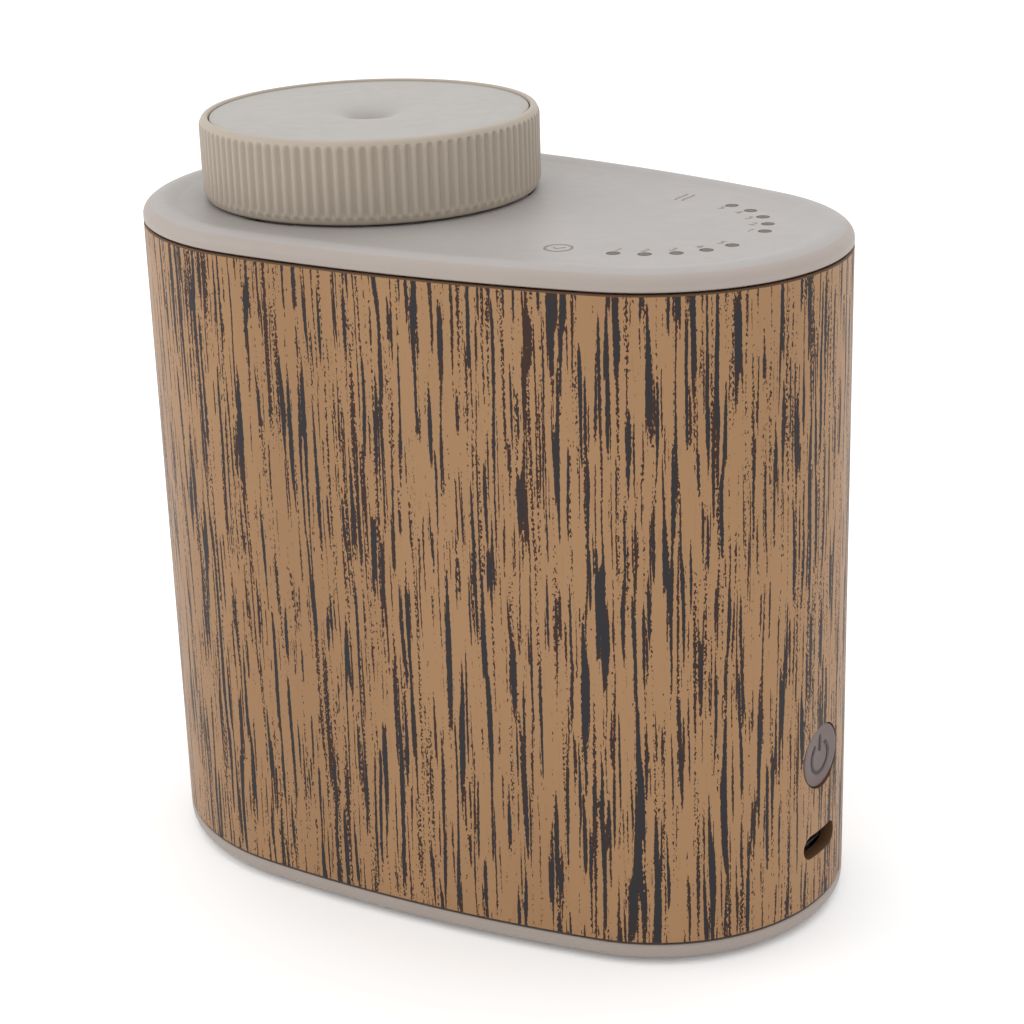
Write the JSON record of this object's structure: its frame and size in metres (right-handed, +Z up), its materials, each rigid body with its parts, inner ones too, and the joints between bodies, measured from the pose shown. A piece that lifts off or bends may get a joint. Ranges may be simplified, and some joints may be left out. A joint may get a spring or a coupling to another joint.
{
  "type": "essential oil diffuser",
  "caption": "Rechargeable waterless oil diffuser: egg-shaped wood-look column with a ribbed twist cap over the oil bottle, touch deck with indicator dots, side button and charging port.",
  "frame": {"origin": "on the ground, in the middle of the object's footprint", "axes": "+Z up; +X from the capped large end towards the small end with the button and charging port; +Y across the body, away from the timer dots"},
  "size_m": [0.1166, 0.072, 0.1187],
  "materials": {
    "wood_wrap": "satin printed wood grain, tan with ragged dark vertical pores",
    "deck_plastic": "fine satin, light greige",
    "cap_plastic": "satin warm taupe, finely ribbed",
    "disc_plastic": "smooth satin greige",
    "rim_plastic": "satin warm taupe",
    "button_plastic": "soft satin mauve grey",
    "foot_rubber": "matt black",
    "seal_rubber": "translucent silicone",
    "screw_steel": "zinc plated",
    "white_nylon": "moulded white",
    "nozzle_metal": "fine turned",
    "clear_tube": "milky tube",
    "amber_glass": "clear amber glass",
    "port_metal": "drawn shell",
    "board_green": "solder mask",
    "switch_black": "moulded black",
    "light_guide": "smoked clear plastic",
    "cell_sleeve": "printed shrink sleeve over a metal can",
    "motor_can": "drawn can",
    "pump_black": "moulded black",
    "hose_silicone": "translucent silicone",
    "lead_red": "insulated wire",
    "lead_black": "insulated wire",
    "ribbon_film": "polyimide film"
  },
  "bodies": {
    "housing": {"sleeve": "wood_wrap", "top_cover": "deck_plastic", "base_cover": "rim_plastic", "foot_pad_1": "foot_rubber", "foot_pad_2": "foot_rubber", "foot_pad_3": "foot_rubber", "foot_pad_4": "foot_rubber", "base_screw_1": "screw_steel", "base_screw_2": "screw_steel", "base_screw_3": "screw_steel", "base_screw_4": "screw_steel", "bottle_well": "white_nylon", "well_gasket": "seal_rubber", "air_socket": "white_nylon", "usb_c_port": "port_metal", "main_board": "board_green", "tact_switch": "switch_black", "touch_board": "board_green", "board_screw_1": "screw_steel", "board_screw_2": "screw_steel", "timer_light_guide": "light_guide", "level_light_guide": "light_guide", "chassis": "white_nylon", "upper_bracket": "white_nylon", "bracket_screw_1": "screw_steel", "bracket_screw_2": "screw_steel", "bracket_screw_3": "screw_steel", "battery_cell": "cell_sleeve", "pump_motor": "motor_can", "pump_head": "pump_black", "pump_diaphragm": "seal_rubber", "air_hose": "hose_silicone", "battery_lead": "lead_red", "pump_lead": "lead_black", "touch_ribbon": "ribbon_film"},
    "head": {"head_carrier": "white_nylon", "neck_seal": "seal_rubber", "nozzle": "nozzle_metal", "dip_tube": "clear_tube"},
    "bottle": {"oil_bottle": "amber_glass"},
    "cap": {"cap_ring": "cap_plastic", "cap_disc": "disc_plastic", "cap_baffle": "white_nylon"},
    "power_button": {"power_button": "button_plastic"},
    "pump_rotor": {"pump_rotor": "screw_steel"}
  },
  "joints": [
    {"name": "head_lift", "type": "slide", "parent": "housing", "child": "head", "axis": [0, 0, 1], "range_m": [0, 0.095]},
    {"name": "cap_twist", "type": "hinge", "parent": "head", "child": "cap", "pos_m": [-0.02232, 0, 0.112], "axis": [0, 0, -1], "range_deg": [0, 60]},
    {"name": "bottle_turn", "type": "hinge", "parent": "head", "child": "bottle", "pos_m": [-0.02232, 0, 0.09], "axis": [0, 0, 1], "range_deg": [0, 540]},
    {"name": "power_press", "type": "slide", "parent": "housing", "child": "power_button", "axis": [-1, 0, 0], "range_m": [0, 0.0005], "stiffness_N_per_m": 600},
    {"name": "pump_spin", "type": "hinge", "parent": "housing", "child": "pump_rotor", "pos_m": [0.02, 0.0125, 0.042], "axis": [0, 0, 1], "continuous": true}
  ]
}
